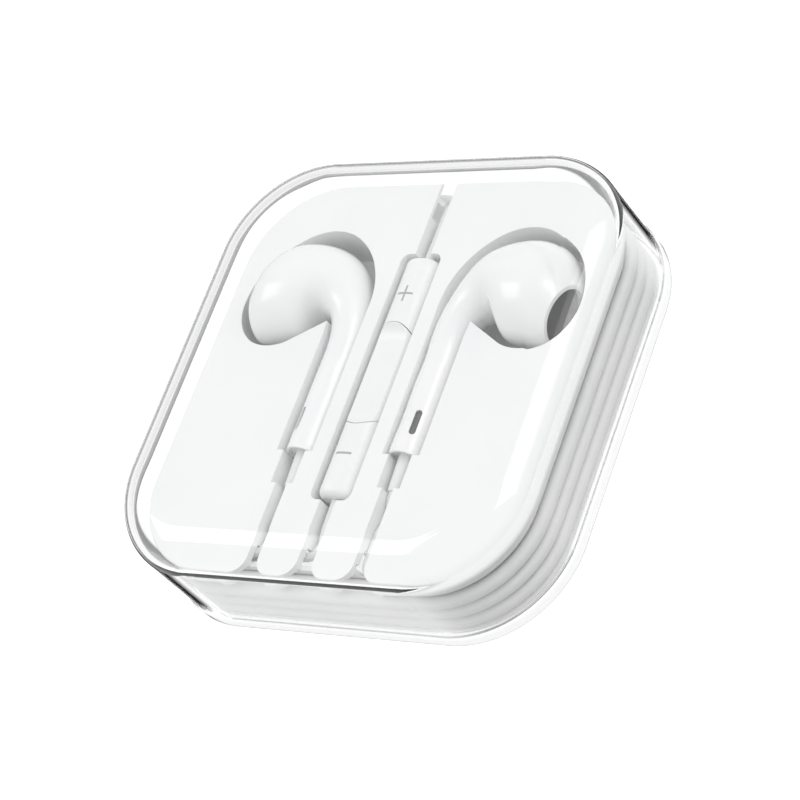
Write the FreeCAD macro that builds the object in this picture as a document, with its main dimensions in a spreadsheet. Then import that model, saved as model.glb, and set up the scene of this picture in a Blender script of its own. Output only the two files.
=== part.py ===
"""Wired in-ear earphones with an inline remote, packed in their clear storage case.

Frame: millimetres, +Z up, origin at the bottom centre of the case.
X runs across the earphone stems, +Y points from the stems to the ear pieces.
"""
import FreeCAD
import Part
import Sketcher
import math
import os

from FreeCAD import Placement, Rotation, Vector

# Driving sizes, one spreadsheet row each
SIZES = [
    ("base_width", 66.3, "outer width and length of the clear base"),
    ("base_rim", 2.0, "height of the base's solid rim"),
    ("base_floor", 1.3, "thickness of the base's floor"),
    ("base_edge", 0.7, "rounding of the base's lower edge"),
    ("lid_width", 65.8, "outer width and length of the clear lid"),
    ("case_height", 18.6, "overall height of the closed case"),
    ("case_corner", 15.3, "plan corner radius of the lid"),
    ("lid_wall", 1.2, "side wall of the lid"),
    ("lid_top_wall", 1.2, "top wall of the lid"),
    ("lid_edge", 3.8, "rounding of the lid's upper edge"),
    ("lap_height", 1.5, "height of the base's lip inside the lid"),
    ("lap_thickness", 0.5, "thickness of that lip"),
    ("lap_gap", 0.15, "clearance between the lip and the lid's rebate"),
    ("seam_gap", 0.05, "gap between the lid's rim and the base's rim"),
    ("tray_top", 11.8, "height of the tray's top face"),
    ("tray_plate", 0.5, "thickness of the tray's top plate"),
    ("tray_half", 31.0, "half the width of the tray's plate"),
    ("tray_edge", 0.4, "rounding of the plate's upper edge"),
    ("tray_wall", 0.75, "thickness of the wall that the cable is wound on"),
    ("tray_flange", 0.5, "thickness of the tray's lower flange"),
    ("pocket_wall", 0.7, "thickness of the pocket walls and floors"),
    ("cable_diameter", 2.0, "diameter of the main cable"),
    ("cable_pitch", 2.46, "rise from one turn of the winding to the next"),
    ("cable_turns", 3, "full turns of the winding"),
    ("lead_diameter", 1.3, "diameter of the thin leads"),
    ("axis_height", 10.0, "height of the stems' and the remote's axis"),
    ("bud_offset", 8.6, "distance of each stem's axis from the middle"),
    ("stem_radius", 2.45, "radius of a stem at its lower end"),
    ("stem_end", 11.9, "distance of a stem's lower end from the middle"),
    ("relief_length", 5.0, "length of a stem's strain relief"),
    ("relief_radius", 1.1, "radius of that strain relief at the stem"),
    ("relief_tip", 0.9, "radius of that strain relief at the lead"),
    ("lead_dip", 0.8, "how far a lead dips into its channel past the relief"),
    ("remote_length", 37.2, "length of the remote"),
    ("remote_width", 5.5, "width of the remote"),
    ("remote_thickness", 4.8, "thickness of the remote"),
    ("remote_round", 2.3, "corner radius of the remote's section"),
    ("remote_wall", 0.6, "wall of the remote's back shell"),
    ("remote_split", 0.5, "height of the keys' seam above the remote's axis"),
    ("remote_relief_length", 4.4, "length of the remote's strain reliefs"),
    ("remote_relief_radius", 0.75, "radius of the remote's strain reliefs"),
    ("key_travel", 0.25, "travel of each key"),
    ("key_gap", 0.12, "gap between neighbouring keys"),
    ("scoop_half", 7.9, "half the length of the finger recess"),
    ("scoop_depth", 1.0, "depth of the finger recess"),
    ("channel_gap", 0.3, "clearance round a piece in its channel"),
    ("plug_radius", 2.5, "radius of the plug's housing"),
    ("plug_length", 14.5, "length of the plug's housing"),
    ("pin_radius", 1.75, "radius of the plug's pin"),
    ("pin_length", 14.0, "length of the plug's pin"),
    ("plug_relief_length", 7.5, "length of the plug's strain relief"),
]

doc = FreeCAD.newDocument("wired_earphones")
sheet = doc.addObject("Spreadsheet::Sheet", "Sizes")
for row, (alias, value, note) in enumerate(SIZES, start=1):
    sheet.set(f"A{row}", note)
    sheet.set(f"B{row}", str(value))
    sheet.setAlias(f"B{row}", alias)
doc.recompute()

sub_parts = {}


def size(alias):
    """Value of one spreadsheet cell."""
    return float(sheet.get(alias))


# Sizes that follow from the driving ones
AXIS = size("axis_height")
BUD = size("bud_offset")
LID_INNER = size("lid_width") / 2 - size("lid_wall")
FLOOR = size("base_floor")
PLATE_UNDER = size("tray_top") - size("tray_plate")
CABLE = size("cable_diameter")
LEAD = size("lead_diameter")
GROOVE = 0.05
WALL_OUTER = size("tray_half") - CABLE - GROOVE
WALL_INNER = WALL_OUTER - size("tray_wall")
TRAY_CORNER = size("case_corner") - (size("lid_width") / 2 - size("tray_half"))
CORNER_CENTRE = size("tray_half") - TRAY_CORNER
CABLE_LINE = WALL_OUTER + GROOVE + CABLE / 2
CABLE_BEND = CABLE_LINE - CORNER_CENTRE
LEVEL_ONE = FLOOR + size("tray_flange") + 0.05 + CABLE / 2
STEM_END = -size("stem_end")
RELIEF_END = STEM_END - size("relief_length")
REMOTE_HALF = size("remote_length") / 2
REMOTE_RELIEF_END = REMOTE_HALF + size("remote_relief_length")
SEAM = AXIS + size("remote_split")
KEY_SEAM = SEAM + size("key_travel") + 0.05
DROP = -25.6
SLOT_LINE = -26.6


def keep(label, obj):
    """Names an object as one of the model's sub-parts."""
    obj.Label = label
    sub_parts[label] = obj
    return obj


def feature(label, shape, mirrored=False):
    """Sub-part whose shape is built from the sheet's values."""
    obj = doc.addObject("Part::Feature", label)
    if mirrored:
        shape = shape.mirror(Vector(0, 0, 0), Vector(1, 0, 0))
    seat = shape.Placement
    obj.Shape = shape
    obj.Placement = seat
    return keep(label, obj)


def new_body(label):
    """PartDesign body that is a sub-part."""
    return keep(label, doc.addObject("PartDesign::Body", label))


def plane_of(body, role):
    """One of the body's own origin planes."""
    return next(f for f in body.Origin.OriginFeatures if f.Role == role)


def new_sketch(body, name, role="XY_Plane", height=None):
    """Sketch on an origin plane, raised by an expression where one is given."""
    sketch = body.newObject("Sketcher::SketchObject", name)
    sketch.AttachmentSupport = (plane_of(body, role), [""])
    sketch.MapMode = "FlatFace"
    if height is not None:
        sketch.setExpression(".AttachmentOffset.Base.z", height)
    return sketch


def add_rounded_square(sketch, half, corner, prefix=""):
    """Centred rounded square, its width and corner bound to expressions."""
    h, c = 20.0, 5.0
    first = sketch.GeometryCount
    corners = [(1, 1), (-1, 1), (-1, -1), (1, -1)]
    for k, (sx, sy) in enumerate(corners):
        nx, ny = corners[(k + 1) % 4]
        start = Vector(sx * (h - c) if sy == ny else sx * h, sy * (h - c) if sx == nx else sy * h, 0)
        end = Vector(nx * (h - c) if sy == ny else nx * h, ny * (h - c) if sx == nx else ny * h, 0)
        sketch.addGeometry(Part.LineSegment(start, end))
        centre = Vector(nx * (h - c), ny * (h - c), 0)
        begin = math.atan2(ny if sx != nx else 0, nx if sx == nx else 0)
        circle = Part.Circle(centre, Vector(0, 0, 1), c)
        sketch.addGeometry(Part.ArcOfCircle(circle, begin, begin + math.pi / 2))
    lines = [first + 2 * k for k in range(4)]
    arcs = [line + 1 for line in lines]
    add = sketch.addConstraint
    for k in range(4):
        add(Sketcher.Constraint("Tangent", lines[k], 2, arcs[k], 1))
        add(Sketcher.Constraint("Tangent", arcs[k], 2, lines[(k + 1) % 4], 1))
        if k > 1:
            add(Sketcher.Constraint("Horizontal" if k == 2 else "Vertical", lines[k]))
    for k in range(3):
        add(Sketcher.Constraint("Equal", arcs[k], arcs[k + 1]))
    add(Sketcher.Constraint("Symmetric", lines[0], 1, lines[0], 2, -2))
    add(Sketcher.Constraint("Symmetric", lines[1], 1, lines[1], 2, -1))
    width = add(Sketcher.Constraint("DistanceX", lines[1], 1, lines[3], 1, 2 * h))
    depth = add(Sketcher.Constraint("DistanceY", lines[2], 1, lines[0], 1, 2 * h))
    radius = add(Sketcher.Constraint("Radius", arcs[0], c))
    for index, name, rule in ((width, "width", f"2 * ({half})"), (depth, "depth", f"2 * ({half})"),
                              (radius, "corner", corner)):
        sketch.renameConstraint(index, prefix + name)
        sketch.setExpression(f"Constraints.{prefix}{name}", rule)


def add_outline(sketch, pieces):
    """Closed outline of lines (2 points) and arcs (3 points)."""
    for points in pieces:
        ends = [Vector(x, y, 0) for x, y in points]
        if len(ends) == 2:
            sketch.addGeometry(Part.LineSegment(*ends))
        else:
            sketch.addGeometry(Part.Arc(*ends))


def box_outline(x0, x1, y0, y1):
    """Four sides of a rectangle as outline pieces."""
    corners = [(x0, y0), (x1, y0), (x1, y1), (x0, y1)]
    return [(corners[k], corners[(k + 1) % 4]) for k in range(4)]


def pad(body, sketch, length, upward=True):
    """Pad of a sketch, its length bound to an expression."""
    made = body.newObject("PartDesign::Pad", "Pad")
    made.Profile = sketch
    made.setExpression("Length", length)
    made.Reversed = not upward
    doc.recompute()
    return made


def pocket(body, sketch, length, upward=False):
    """Pocket of a sketch, checked to remove material."""
    before = body.Shape.Volume
    made = body.newObject("PartDesign::Pocket", "Pocket")
    made.Profile = sketch
    made.setExpression("Length", length)
    made.Reversed = upward
    doc.recompute()
    if body.Shape.Volume >= before - 1e-6:
        raise RuntimeError(f"{sketch.Name} cuts nothing")
    return made


def round_edges(body, base, radius, chosen):
    """Fillet on the edges of a feature that a test picks out."""
    names = [f"Edge{k}" for k, edge in enumerate(base.Shape.Edges, start=1) if chosen(edge)]
    made = body.newObject("PartDesign::Fillet", "Fillet")
    made.Base = (base, names)
    made.setExpression("Radius", radius)
    doc.recompute()
    return made


def at_height(edge, z):
    """True for an edge that lies wholly at one height."""
    box = edge.BoundBox
    return abs(box.ZMin - z) < 1e-4 and abs(box.ZMax - z) < 1e-4


def tube(wire, diameter):
    """Round tube along a tangent wire."""
    edge = wire.Edges[0]
    start = edge.valueAt(edge.FirstParameter)
    heading = edge.tangentAt(edge.FirstParameter)
    ring = Part.Wire(Part.Circle(start, heading, diameter / 2).toShape())
    solid = Part.Solid(wire.makePipeShell([ring], True, False))
    if solid.Volume < 0:
        solid.reverse()
    expected = math.pi * diameter ** 2 / 4 * wire.Length
    if abs(solid.Volume / expected - 1) > 0.01:
        raise RuntimeError("a tube's volume is not its section times its length")
    return solid


def rod_along_y(x, start, end, radius, end_radius):
    """Level round rod or cone at the pieces' axis height between two values of Y."""
    a, b = Vector(x, start, AXIS), Vector(x, end, AXIS)
    return Part.makeCone(radius, end_radius, (b - a).Length, a, b - a)


# Clear base: rim, recessed floor and the lip that the lid drops over
def make_base():
    body = new_body("case_base")
    plan = new_sketch(body, "BasePlan")
    corner = "Sizes.case_corner + (Sizes.base_width - Sizes.lid_width) / 2"
    add_rounded_square(plan, "Sizes.base_width / 2", corner)
    slab = pad(body, plan, "Sizes.base_rim")
    rounded = round_edges(body, slab, "Sizes.base_edge", lambda e: at_height(e, 0.0))
    lip = new_sketch(body, "LipPlan", height="Sizes.base_rim")
    inner = "Sizes.lid_width / 2 - Sizes.lid_wall"
    inner_corner = "Sizes.case_corner - Sizes.lid_wall"
    add_rounded_square(lip, f"{inner} + Sizes.lap_thickness", f"{inner_corner} + Sizes.lap_thickness")
    add_rounded_square(lip, inner, inner_corner, "inner_")
    pad(body, lip, "Sizes.lap_height")
    recess = new_sketch(body, "RecessPlan", height="Sizes.base_rim")
    add_rounded_square(recess, inner, inner_corner)
    pocket(body, recess, "Sizes.base_rim - Sizes.base_floor")
    return rounded


# Clear lid: thick rounded shell, open below, with a rebate for the base's lip
def make_lid():
    body = new_body("case_lid")
    rim = "Sizes.base_rim + Sizes.seam_gap"
    plan = new_sketch(body, "LidPlan", height=rim)
    add_rounded_square(plan, "Sizes.lid_width / 2", "Sizes.case_corner")
    block = pad(body, plan, f"Sizes.case_height - ({rim})")
    top = size("case_height")
    round_edges(body, block, "Sizes.lid_edge", lambda e: at_height(e, top))
    inside = new_sketch(body, "InsidePlan", height=rim)
    add_rounded_square(inside, "Sizes.lid_width / 2 - Sizes.lid_wall", "Sizes.case_corner - Sizes.lid_wall")
    hollow = pocket(body, inside, f"Sizes.case_height - Sizes.lid_top_wall - ({rim})", upward=True)
    ceiling = top - size("lid_top_wall")
    inner_edges = [e for e in hollow.Shape.Edges if at_height(e, ceiling)]
    if inner_edges:
        round_edges(body, hollow, "Sizes.lid_edge - Sizes.lid_wall", lambda e: at_height(e, ceiling))
    rebate = new_sketch(body, "RebatePlan", height=rim)
    reach = "Sizes.lap_thickness + Sizes.lap_gap"
    add_rounded_square(rebate, f"Sizes.lid_width / 2 - Sizes.lid_wall + {reach}",
                       f"Sizes.case_corner - Sizes.lid_wall + {reach}")
    pocket(body, rebate, "Sizes.lap_height + 2 * Sizes.lap_gap", upward=True)


# Outline of the pocket for the right ear piece, grown by a wall where asked
def head_outline(side, grow=0.0):
    points = [
        ((5.85, 6.0), (5.85, 10.0)),
        ((5.85, 10.0), (7.0, 16.4), (12.0, 22.0)),
        ((12.0, 22.0), (17.2, 23.3), (22.3, 21.4)),
        ((22.3, 21.4), (26.2, 17.7), (28.0, 12.0)),
        ((28.0, 12.0), (27.1, 7.8), (24.3, 5.0)),
        ((24.3, 5.0), (21.1, 4.3), (17.9, 5.0)),
        ((17.9, 5.0), (12.1, 8.4)),
        ((12.1, 8.4), (11.9, 6.0)),
        ((11.9, 6.0), (5.85, 6.0)),
    ]
    wire = Part.Wire([
        (Part.LineSegment(Vector(*p[0], 0), Vector(*p[1], 0)) if len(p) == 2
         else Part.Arc(*[Vector(*q, 0) for q in p])).toShape()
        for p in points
    ])
    face = Part.Face(wire)
    if grow:
        face = face.makeOffset2D(grow, 0, False, False, False)
    if side < 0:
        face = face.mirror(Vector(0, 0, 0), Vector(1, 0, 0))
    return face


def slab_of(face, low, high):
    """Upright solid of a plan face between two heights."""
    placed = face.copy()
    placed.translate(Vector(0, 0, low))
    return placed.extrude(Vector(0, 0, high - low))


def box_of(x0, x1, y0, y1, z0, z1):
    """Box by its two corners on each axis."""
    return Part.makeBox(x1 - x0, y1 - y0, z1 - z0, Vector(x0, y0, z0))


def mirrored_box(side, x0, x1, y0, y1, z0, z1):
    """Box on one side of the middle plane."""
    return box_of(*sorted((side * x0, side * x1)), y0, y1, z0, z1)


def rounded_plan(half, corner):
    """Face of a centred rounded square."""
    inner = half - corner
    edges = []
    for k in range(4):
        turn = Rotation(Vector(0, 0, 1), 90 * k)
        a, b = Vector(half, -inner, 0), Vector(half, inner, 0)
        c = Vector(inner, inner, 0)
        mid = c + Vector(1, 1, 0).normalize() * corner
        end = Vector(inner, half, 0)
        edges.append(Part.LineSegment(turn.multVec(a), turn.multVec(b)).toShape())
        edges.append(Part.Arc(turn.multVec(b), turn.multVec(mid), turn.multVec(end)).toShape())
    return Part.Face(Part.Wire(edges))


# Channel sizes that the pieces in them set
GAP = size("channel_gap")
STEM_FLOOR = AXIS - size("stem_radius") - GAP
HEAD_FLOOR = 4.15
REMOTE_FLOOR = AXIS - size("remote_thickness") / 2 - GAP
RELIEF_FLOOR = AXIS - size("relief_radius") - GAP
THIN_FLOOR = AXIS - size("lead_dip") - LEAD / 2 - 0.45
BACK_FLOOR = AXIS - LEAD / 2 - GAP
STEM_INNER = BUD - size("stem_radius") - GAP
STEM_OUTER = STEM_INNER + 6.05
CHANNEL_MIDDLE = (STEM_INNER + STEM_OUTER) / 2
RELIEF_HALF = 1.87
THIN_HALF = 0.95
MIDDLE_HALF = 1.3
CHANNEL_CORNER = 1.3
REMOTE_CHANNEL = size("remote_width") / 2 + 2 * GAP
REMOTE_STOP = REMOTE_HALF + 0.7
FLARE = 3.0
SKIRT_WALL = 0.5
SKIRT_DROP = 0.6
NOTCH_DROP = 1.1
BACK_DROP = 25.6


def round_cornered(box, radius):
    """Box with its four upright edges rounded."""
    return box.makeFillet(radius, [e for e in box.Edges if e.BoundBox.ZLength > 1])


def channel_boxes(grow, top):
    """Boxes of every straight channel, grown by a wall on all sides but the top."""
    boxes = []
    for side in (1, -1):
        boxes.append(mirrored_box(side, STEM_INNER - grow, STEM_OUTER + grow, STEM_END - 0.2 - grow,
                                  9.0, STEM_FLOOR - grow, top))
        wide, thin = RELIEF_HALF + grow, THIN_HALF + grow
        boxes.append(mirrored_box(side, CHANNEL_MIDDLE - wide, CHANNEL_MIDDLE + wide,
                                  RELIEF_END - 0.2 - grow, STEM_END, RELIEF_FLOOR - grow, top))
        boxes.append(mirrored_box(side, CHANNEL_MIDDLE - thin, CHANNEL_MIDDLE + thin,
                                  DROP, RELIEF_END, THIN_FLOOR - grow, top))
    remote = box_of(-REMOTE_CHANNEL - grow, REMOTE_CHANNEL + grow, -REMOTE_STOP - grow, REMOTE_STOP + grow,
                    REMOTE_FLOOR - grow, top)
    boxes.append(round_cornered(remote, CHANNEL_CORNER + grow))
    half = MIDDLE_HALF + grow
    boxes.append(box_of(-half, half, DROP, -REMOTE_STOP, THIN_FLOOR - grow, top))
    boxes.append(box_of(-half, half, REMOTE_STOP, BACK_DROP, BACK_FLOOR - grow, top))
    return boxes


def flare_notch(x, half):
    """Open notch in the plate where a channel widens to the tray's front edge."""
    edge = size("tray_half") + 0.5
    turn = -size("tray_half") + FLARE
    bend = FLARE * (1 - math.sqrt(0.5))
    pieces = [
        ((x - half, DROP), (x + half, DROP)),
        ((x + half, DROP), (x + half, turn)),
        ((x + half, turn), (x + half + bend, turn - FLARE + bend), (x + half + FLARE, turn - FLARE)),
        ((x + half + FLARE, turn - FLARE), (x + half + FLARE, -edge)),
        ((x + half + FLARE, -edge), (x - half - FLARE, -edge)),
        ((x - half - FLARE, -edge), (x - half - FLARE, turn - FLARE)),
        ((x - half - FLARE, turn - FLARE), (x - half - bend, turn - FLARE + bend), (x - half, turn)),
        ((x - half, turn), (x - half, DROP)),
    ]
    edges = [
        (Part.LineSegment(Vector(*p[0], 0), Vector(*p[1], 0)) if len(p) == 2
         else Part.Arc(*[Vector(*q, 0) for q in p])).toShape()
        for p in pieces
    ]
    return Part.Face(Part.Wire(edges))


# White tray: plate, hollow pockets, and the flanged wall that carries the winding
def make_tray():
    top = size("tray_top")
    wall = size("pocket_wall")
    plate = slab_of(rounded_plan(size("tray_half"), TRAY_CORNER), PLATE_UNDER, top)
    plate = plate.makeFillet(size("tray_edge"), [e for e in plate.Edges if at_height(e, top)])
    wall_corner = WALL_OUTER - CORNER_CENTRE
    inner_plan = rounded_plan(WALL_INNER, WALL_INNER - CORNER_CENTRE)
    ring = slab_of(rounded_plan(WALL_OUTER, wall_corner), FLOOR, PLATE_UNDER)
    ring = ring.cut(slab_of(inner_plan, FLOOR - 1, PLATE_UNDER + 1))
    flange = slab_of(rounded_plan(size("tray_half"), TRAY_CORNER), FLOOR, FLOOR + size("tray_flange"))
    flange = flange.cut(slab_of(inner_plan, FLOOR - 1, top))
    outers = channel_boxes(wall, PLATE_UNDER + 0.1)
    outers += [slab_of(head_outline(side, wall), HEAD_FLOOR - wall, PLATE_UNDER + 0.1) for side in (1, -1)]
    limit = slab_of(rounded_plan(WALL_OUTER, wall_corner), FLOOR, top)
    blocks = [piece.common(limit) for piece in outers]
    notches = [flare_notch(x, half) for x, half in
               ((CHANNEL_MIDDLE, THIN_HALF), (0.0, MIDDLE_HALF), (-CHANNEL_MIDDLE, THIN_HALF))]
    outline = slab_of(rounded_plan(size("tray_half"), TRAY_CORNER), 0.0, top)
    for notch in notches:
        wide = notch.makeOffset2D(SKIRT_WALL, 0, False, False, False)
        blocks.append(slab_of(wide, PLATE_UNDER - SKIRT_DROP, PLATE_UNDER + 0.1).common(outline))
    tray = plate.fuse([ring, flange] + blocks)
    voids = channel_boxes(0.0, top + 1)
    voids += [slab_of(head_outline(side), HEAD_FLOOR, top + 1) for side in (1, -1)]
    back_end = size("tray_half") + 1
    voids.append(box_of(-MIDDLE_HALF, MIDDLE_HALF, BACK_DROP, back_end, PLATE_UNDER - 1, top + 1))
    voids += [slab_of(notch, PLATE_UNDER - NOTCH_DROP, top + 1) for notch in notches]
    voids += wall_windows()
    tray = tray.cut(voids)
    feature("tray", tray.removeSplitter())


# Windows in the winding wall where a lead or the cable passes through it
def wall_windows():
    lead_low = AXIS - LEAD / 2 - GAP
    cable_low = LEVEL_ONE + size("cable_turns") * size("cable_pitch") - CABLE / 2 - 0.2
    outside = size("tray_half") + 1
    return [
        box_of(BUD - 1.0, BUD + 4.0, -outside, -WALL_INNER + 0.5, lead_low, PLATE_UNDER),
        box_of(-1.0, 4.2, WALL_INNER - 0.5, outside, lead_low, PLATE_UNDER),
        box_of(-outside, -18.8, -outside, -14.8, cable_low, PLATE_UNDER),
        box_of(-outside, -WALL_INNER + 0.5, -CORNER_CENTRE - 0.4, -11.4, FLOOR + size("tray_flange"),
               LEVEL_ONE + CABLE / 2 + 0.4),
    ]


def swept_ring(centre, heading, half_width, half_height, count=8):
    """Smooth closed curve round a centre line point; heading is its plan angle in degrees."""
    across = Vector(-math.sin(math.radians(heading)), math.cos(math.radians(heading)), 0)
    points = []
    for k in range(count):
        angle = 2 * math.pi * k / count
        offset = across * (half_width * math.cos(angle)) + Vector(0, 0, half_height * math.sin(angle))
        points.append(Vector(*centre) + offset)
    curve = Part.BSplineCurve()
    curve.interpolate(Points=points, PeriodicFlag=True)
    return Part.Wire(curve.toShape())


# Outer form of an ear piece: a round stem that bends and swells into the head
def ear_form():
    r = size("stem_radius")
    rings = [((BUD, y, AXIS), 90, r, r) for y in (STEM_END, -8.0, -4.0, 0.0, 4.0)]
    rings += [
        ((BUD + 0.15, 7.2, AXIS), 87, r + 0.2, r + 0.3),
        ((BUD + 1.6, 11.2, AXIS), 66, 3.3, 3.4),
        ((BUD + 4.1, 13.6, AXIS), 35, 4.8, 4.7),
        ((BUD + 8.1, 14.1, AXIS + 0.1), 1, 7.0, 5.8),
        ((BUD + 12.3, 13.2, AXIS + 0.35), -12, 7.2, 5.8),
        ((BUD + 15.1, 11.4, AXIS + 0.4), -15, 5.8, 4.9),
        (NOZZLE_CENTRE, NOZZLE_HEADING, 4.5, 3.7),
    ]
    return Part.makeLoft([swept_ring(*ring) for ring in rings], True, False)


def parting_block():
    """Large block on the ear side of the plane where the two shells meet."""
    near, far, last = (Vector(*point) for point in PARTING_POINTS)
    normal = (far - near).cross(last - near).normalize()
    if normal.z > 0:
        normal = -normal
    block = Part.makeBox(80, 80, 40, Vector(-40, -40, 0))
    block.Placement = Placement(near, Rotation(Vector(0, 0, 1), normal))
    return block


PARTING_POINTS = (
    (BUD - 1.9, 13.7, AXIS + 0.2),
    (BUD + 6.4, 18.0, AXIS + 3.5),
    (BUD + 16.9, 12.0, AXIS + 4.2),
)
NOZZLE_CENTRE = (BUD + 16.6, 10.2, AXIS + 0.3)
GRILLE_DEPTH = 0.85
STEM_RECESS = 0.5
NOZZLE_HEADING = -14
VENT_TILT = 26
VENT_MIDDLE = -7.4
VENT_LENGTH = 3.7
VENT_WIDTH = 0.9


def nozzle_axis():
    """Unit vector out of the sound opening."""
    turn = math.radians(NOZZLE_HEADING)
    return Vector(math.cos(turn), math.sin(turn), 0)


def along_nozzle(distance):
    """Point on the nozzle's axis; 0 is its mouth and inside is negative."""
    return Vector(*NOZZLE_CENTRE) + nozzle_axis() * distance


def nozzle_prism(low, high, half_width, half_height):
    """Oval prism on the nozzle's axis between two distances from its mouth."""
    rings = [swept_ring(tuple(along_nozzle(place)), NOZZLE_HEADING, half_width, half_height)
             for place in (low, high)]
    return Part.makeLoft(rings, True, True)


def obround(length, width, depth):
    """Upright prism with round ends, centred on the origin, its length along Y."""
    straight = (length - width) / 2
    block = Part.makeBox(width, 2 * straight, depth, Vector(-width / 2, -straight, 0))
    ends = [Part.makeCylinder(width / 2, depth, Vector(0, y, 0)) for y in (-straight, straight)]
    return block.fuse(ends).removeSplitter()


def vent_prism(length, width, low, high):
    """Obround prism through the stem's wall, at the vent's angle round the stem."""
    prism = obround(length, width, high - low)
    prism.translate(Vector(0, 0, low))
    prism.rotate(Vector(0, 0, 0), Vector(0, 1, 0), VENT_TILT)
    prism.translate(Vector(BUD, VENT_MIDDLE, AXIS))
    return prism


# One ear piece: shells, grille, driver, vents and strain relief, mirrored for the left
def make_ear_piece(name, mirrored):
    form = ear_form()
    driver_radius, driver_depth = 3.3, 2.6
    axis = nozzle_axis()
    back = -GRILLE_DEPTH - 5.45
    chamber = Part.makeCylinder(driver_radius + 0.1, 4.4, along_nozzle(back - 0.1), axis)
    mouth = nozzle_prism(back + 3.8, 1.0, 3.1, 2.5)
    seat = nozzle_prism(-GRILLE_DEPTH - 0.4, 1.0, 3.95, 3.15)
    slot = vent_prism(VENT_LENGTH, VENT_WIDTH, size("stem_radius") - 0.8, size("stem_radius") + 1)
    hole_start = Vector(BUD - 0.6, 13.2, AXIS - 0.4)
    pressure_hole = Part.makeCylinder(0.42, 3.0, hole_start, Vector(-0.9, 0.2, 0.1))
    recess_radius = size("stem_radius") - 0.35
    recess = Part.makeCylinder(recess_radius, STEM_RECESS, Vector(BUD, STEM_END, AXIS), Vector(0, 1, 0))
    shell = form.cut([chamber, mouth, seat, slot, pressure_hole, recess])
    ear_side = parting_block()
    feature(f"{name}_rear_shell", shell.cut(ear_side), mirrored)
    feature(f"{name}_front_shell", shell.common(ear_side), mirrored)
    feature(f"{name}_grille", nozzle_prism(-GRILLE_DEPTH - 0.38, -GRILLE_DEPTH, 3.87, 3.07), mirrored)
    frame = Part.makeCylinder(driver_radius, driver_depth, along_nozzle(back), axis)
    bowl_low = back + driver_depth - 1.4
    bowl = Part.makeCylinder(driver_radius - 0.4, 1.4, along_nozzle(bowl_low), axis)
    feature(f"{name}_driver_frame", frame.cut(bowl), mirrored)
    magnet = Part.makeCylinder(2.0, 0.9, along_nozzle(bowl_low), axis)
    feature(f"{name}_driver_magnet", magnet, mirrored)
    rim = Part.makeCylinder(driver_radius, 0.3, along_nozzle(back + driver_depth), axis)
    feature(f"{name}_diaphragm", rim, mirrored)
    screen = vent_prism(VENT_LENGTH - 0.1, VENT_WIDTH - 0.1, size("stem_radius") - 0.8,
                        size("stem_radius") - 0.35)
    feature(f"{name}_vent_screen", screen, mirrored)
    relief = rod_along_y(BUD, STEM_END + STEM_RECESS, RELIEF_END, size("relief_radius"), size("relief_tip"))
    feature(f"{name}_strain_relief", relief, mirrored)


def remote_blank():
    """Solid outer form of the remote: a rounded bar with rounded ends."""
    w, t, r = size("remote_width") / 2, size("remote_thickness") / 2, size("remote_round")
    edges = []
    for k, (x, z) in enumerate(((w, t), (-w, t), (-w, -t), (w, -t))):
        sx, sz = math.copysign(1, x), math.copysign(1, z)
        centre = Vector(x - sx * r, 0, z - sz * r)
        side, cap = centre + Vector(sx * r, 0, 0), centre + Vector(0, 0, sz * r)
        mid = centre + Vector(sx, 0, sz).normalize() * r
        first, last = (side, cap) if k % 2 == 0 else (cap, side)
        if edges:
            edges.append(Part.LineSegment(previous, first).toShape())
        edges.append(Part.Arc(first, mid, last).toShape())
        previous = last
    start = edges[0].valueAt(edges[0].FirstParameter)
    edges.append(Part.LineSegment(previous, start).toShape())
    bar = Part.Face(Part.Wire(edges)).extrude(Vector(0, size("remote_length"), 0))
    rims = [e for e in bar.Edges if e.BoundBox.YLength < 1e-6]
    bar = bar.makeFillet(END_ROUND, rims)
    bar.translate(Vector(0, -REMOTE_HALF, AXIS))
    return bar


END_ROUND = 0.9
KEY_SKIRT = 0.9


SCOOP_RAMP = 2.6
SCOOP_MARGIN = 0.2


def scoop_tool():
    """Finger recess: a flat floor that curves up to the surface at both ends."""
    half, deep = size("scoop_half") - SCOOP_MARGIN, size("scoop_depth")
    top = AXIS + size("remote_thickness") / 2
    low, flat, over = top - deep, half - SCOOP_RAMP, 2.0
    radius = (SCOOP_RAMP ** 2 + deep ** 2) / (2 * deep)
    angle = math.asin(SCOOP_RAMP / radius) / 2
    sag, reach = radius * (1 - math.cos(angle)), radius * math.sin(angle)
    corners = ((flat, low), (flat + reach, low + sag), (half, top), (half, top + over))
    right = [Vector(-4, y, z) for y, z in corners]
    left = [Vector(v.x, -v.y, v.z) for v in right]
    edges = [
        Part.LineSegment(left[0], right[0]).toShape(),
        Part.Arc(right[0], right[1], right[2]).toShape(),
        Part.LineSegment(right[2], right[3]).toShape(),
        Part.LineSegment(right[3], left[3]).toShape(),
        Part.LineSegment(left[3], left[2]).toShape(),
        Part.Arc(left[2], left[1], left[0]).toShape(),
    ]
    return Part.Face(Part.Wire(edges)).extrude(Vector(8, 0, 0))


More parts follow.
